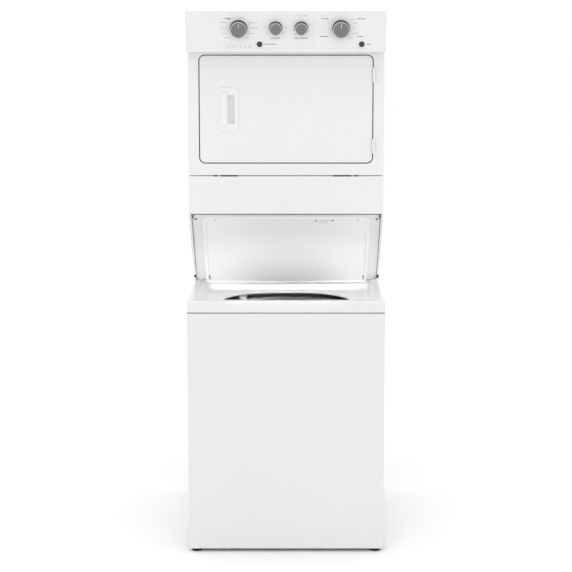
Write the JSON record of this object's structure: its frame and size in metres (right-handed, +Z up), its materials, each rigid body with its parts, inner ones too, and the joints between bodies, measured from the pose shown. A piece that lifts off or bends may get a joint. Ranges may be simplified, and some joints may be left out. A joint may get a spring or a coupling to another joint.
{
  "type": "washer dryer stack",
  "caption": "Side-swing dryer on a stand above a top-load washer with its lid open; console with knobs on top.",
  "frame": {"origin": "centre of the bounding box's footprint on the floor", "axes": "+X to the viewer's right, +Y to the back, +Z up"},
  "size_m": [0.692, 0.821, 1.905],
  "materials": {
    "washer_cabinet": "gloss",
    "washer_base": "gloss",
    "levelling_feet": "matte",
    "washer_top": "gloss",
    "fill_nozzle": "satin",
    "suspension_rods": "brushed",
    "suspension_springs": "brushed",
    "drain_pump": "satin",
    "inlet_valve": "satin",
    "lid_hinge_pins": "satin",
    "stand_sides": "gloss",
    "backsplash": "gloss",
    "rear_panel": "brushed",
    "lower_fascia": "gloss",
    "dryer_base": "brushed",
    "dryer_cabinet": "gloss",
    "dryer_front": "gloss",
    "dryer_top": "gloss",
    "console_fascia": "gloss",
    "console_ends": "gloss",
    "control_switches": "satin",
    "front_bulkhead": "brushed",
    "rear_bulkhead": "brushed",
    "lint_duct": "brushed",
    "heater_duct": "brushed",
    "dryer_motor": "painted",
    "drum_belt": "matte",
    "blower_housing": "satin",
    "exhaust_duct": "satin",
    "terminal_cover": "brushed",
    "door_hinge_frames": "gloss",
    "washer_lid": "gloss",
    "lid_liner": "gloss",
    "lid_bumpers": "matte",
    "lid_strike": "brushed",
    "outer_tub": "satin",
    "tub_ring": "satin",
    "gearcase": "painted",
    "washer_motor": "painted",
    "washer_belt": "matte",
    "basket": "brushed",
    "balance_ring": "satin",
    "agitator": "satin",
    "drive_pulley": "satin",
    "motor_pulley": "brushed",
    "washer_cycle_knob": "satin",
    "water_temp_knob": "satin",
    "load_size_knob": "satin",
    "dryer_cycle_knob": "satin",
    "washer_start_button": "satin",
    "dryer_start_button": "satin",
    "dryer_door": "gloss",
    "door_liner": "gloss",
    "door_handle": "satin",
    "door_hinge_leaves": "gloss",
    "drum": "gloss",
    "roller_left": "matte",
    "roller_right": "matte",
    "blower_wheel": "satin",
    "lint_screen": "satin"
  },
  "bodies": {
    "cabinet": {"washer_cabinet": "washer_cabinet", "washer_base": "washer_base", "levelling_feet": "levelling_feet", "washer_top": "washer_top", "fill_nozzle": "fill_nozzle", "suspension_rods": "suspension_rods", "suspension_springs": "suspension_springs", "drain_pump": "drain_pump", "inlet_valve": "inlet_valve", "lid_hinge_pins": "lid_hinge_pins", "stand_sides": "stand_sides", "backsplash": "backsplash", "rear_panel": "rear_panel", "lower_fascia": "lower_fascia", "dryer_base": "dryer_base", "dryer_cabinet": "dryer_cabinet", "dryer_front": "dryer_front", "dryer_top": "dryer_top", "console_fascia": "console_fascia", "console_ends": "console_ends", "control_switches": "control_switches", "front_bulkhead": "front_bulkhead", "rear_bulkhead": "rear_bulkhead", "lint_duct": "lint_duct", "heater_duct": "heater_duct", "dryer_motor": "dryer_motor", "drum_belt": "drum_belt", "blower_housing": "blower_housing", "exhaust_duct": "exhaust_duct", "terminal_cover": "terminal_cover", "door_hinge_frames": "door_hinge_frames"},
    "lid": {"washer_lid": "washer_lid", "lid_liner": "lid_liner", "lid_bumpers": "lid_bumpers", "lid_strike": "lid_strike"},
    "tub": {"outer_tub": "outer_tub", "tub_ring": "tub_ring", "gearcase": "gearcase", "washer_motor": "washer_motor", "washer_belt": "washer_belt"},
    "basket": {"basket": "basket", "balance_ring": "balance_ring"},
    "agitator": {"agitator": "agitator"},
    "drive_pulley": {"drive_pulley": "drive_pulley"},
    "motor_pulley": {"motor_pulley": "motor_pulley"},
    "washer_cycle_knob": {"washer_cycle_knob": "washer_cycle_knob"},
    "water_temp_knob": {"water_temp_knob": "water_temp_knob"},
    "load_size_knob": {"load_size_knob": "load_size_knob"},
    "dryer_cycle_knob": {"dryer_cycle_knob": "dryer_cycle_knob"},
    "washer_start_button": {"washer_start_button": "washer_start_button"},
    "dryer_start_button": {"dryer_start_button": "dryer_start_button"},
    "dryer_door": {"dryer_door": "dryer_door", "door_liner": "door_liner", "door_handle": "door_handle", "door_hinge_leaves": "door_hinge_leaves"},
    "drum": {"drum": "drum"},
    "roller_left": {"roller_left": "roller_left"},
    "roller_right": {"roller_right": "roller_right"},
    "blower": {"blower_wheel": "blower_wheel"},
    "lint_screen": {"lint_screen": "lint_screen"}
  },
  "joints": [
    {"name": "lid_hinge", "type": "hinge", "parent": "cabinet", "child": "lid", "pos_m": [0, 0.0525, 0.913], "axis": [1, 0, 0], "range_deg": [0, 45]},
    {"name": "tub_suspension", "type": "slide", "parent": "cabinet", "child": "tub", "axis": [0, 0, 1], "range_m": [-0.015, 0], "stiffness_N_per_m": 14000, "springref_m": 0.045, "deforming": ["suspension_springs"]},
    {"name": "basket_spin", "type": "hinge", "parent": "tub", "child": "basket", "pos_m": [0, -0.0975, 0.3], "axis": [0, 0, 1], "continuous": true},
    {"name": "agitator_turn", "type": "hinge", "parent": "basket", "child": "agitator", "pos_m": [0, -0.0975, 0.3], "axis": [0, 0, 1], "continuous": true},
    {"name": "drive_pulley_turn", "type": "hinge", "parent": "tub", "child": "drive_pulley", "pos_m": [0, -0.0975, 0.112], "axis": [0, 0, 1], "continuous": true},
    {"name": "motor_pulley_turn", "type": "hinge", "parent": "tub", "child": "motor_pulley", "pos_m": [0.17, 0.0195, 0.112], "axis": [0, 0, 1], "continuous": true},
    {"name": "washer_cycle_turn", "type": "hinge", "parent": "cabinet", "child": "washer_cycle_knob", "pos_m": [-0.163, -0.33844, 1.84611], "axis": [0, -0.9718, -0.236], "continuous": true},
    {"name": "water_temp_turn", "type": "hinge", "parent": "cabinet", "child": "water_temp_knob", "pos_m": [-0.0355, -0.33891, 1.84806], "axis": [0, -0.9718, -0.236], "range_deg": [-60, 60]},
    {"name": "load_size_turn", "type": "hinge", "parent": "cabinet", "child": "load_size_knob", "pos_m": [0.053, -0.33891, 1.84806], "axis": [0, -0.9718, -0.236], "range_deg": [-60, 60]},
    {"name": "dryer_cycle_turn", "type": "hinge", "parent": "cabinet", "child": "dryer_cycle_knob", "pos_m": [0.19, -0.33844, 1.84611], "axis": [0, -0.9718, -0.236], "continuous": true},
    {"name": "washer_start_push", "type": "slide", "parent": "cabinet", "child": "washer_start_button", "axis": [0, 0.9718, 0.236], "range_m": [0, 0.0025], "stiffness_N_per_m": 800, "springref_m": -0.001},
    {"name": "dryer_start_push", "type": "slide", "parent": "cabinet", "child": "dryer_start_button", "axis": [0, 0.9718, 0.236], "range_m": [0, 0.0025], "stiffness_N_per_m": 800, "springref_m": -0.001},
    {"name": "dryer_door_hinge", "type": "hinge", "parent": "cabinet", "child": "dryer_door", "pos_m": [0.309, -0.2495, 1.562], "axis": [0, 0, 1], "range_deg": [0, 150]},
    {"name": "drum_spin", "type": "hinge", "parent": "cabinet", "child": "drum", "pos_m": [0, 0.2295, 1.625], "axis": [0, 1, 0], "continuous": true},
    {"name": "roller_left_turn", "type": "hinge", "parent": "cabinet", "child": "roller_left", "pos_m": [-0.16421, -0.1725, 1.39048], "axis": [0, 1, 0], "continuous": true},
    {"name": "roller_right_turn", "type": "hinge", "parent": "cabinet", "child": "roller_right", "pos_m": [0.16421, -0.1725, 1.39048], "axis": [0, 1, 0], "continuous": true},
    {"name": "blower_turn", "type": "hinge", "parent": "cabinet", "child": "blower", "pos_m": [0.255, 0.1895, 1.405], "axis": [0, 1, 0], "continuous": true},
    {"name": "lint_screen_slide", "type": "slide", "parent": "cabinet", "child": "lint_screen", "axis": [0, 0, 1], "range_m": [0, 0.08]}
  ],
  "couplings": [
    {"joint": "motor_pulley_turn", "follows": "drive_pulley_turn", "ratio": 5},
    {"joint": "roller_left_turn", "follows": "drum_spin", "ratio": -10.917},
    {"joint": "roller_right_turn", "follows": "drum_spin", "ratio": -10.917},
    {"joint": "blower_turn", "follows": "drum_spin", "ratio": 18.714}
  ]
}
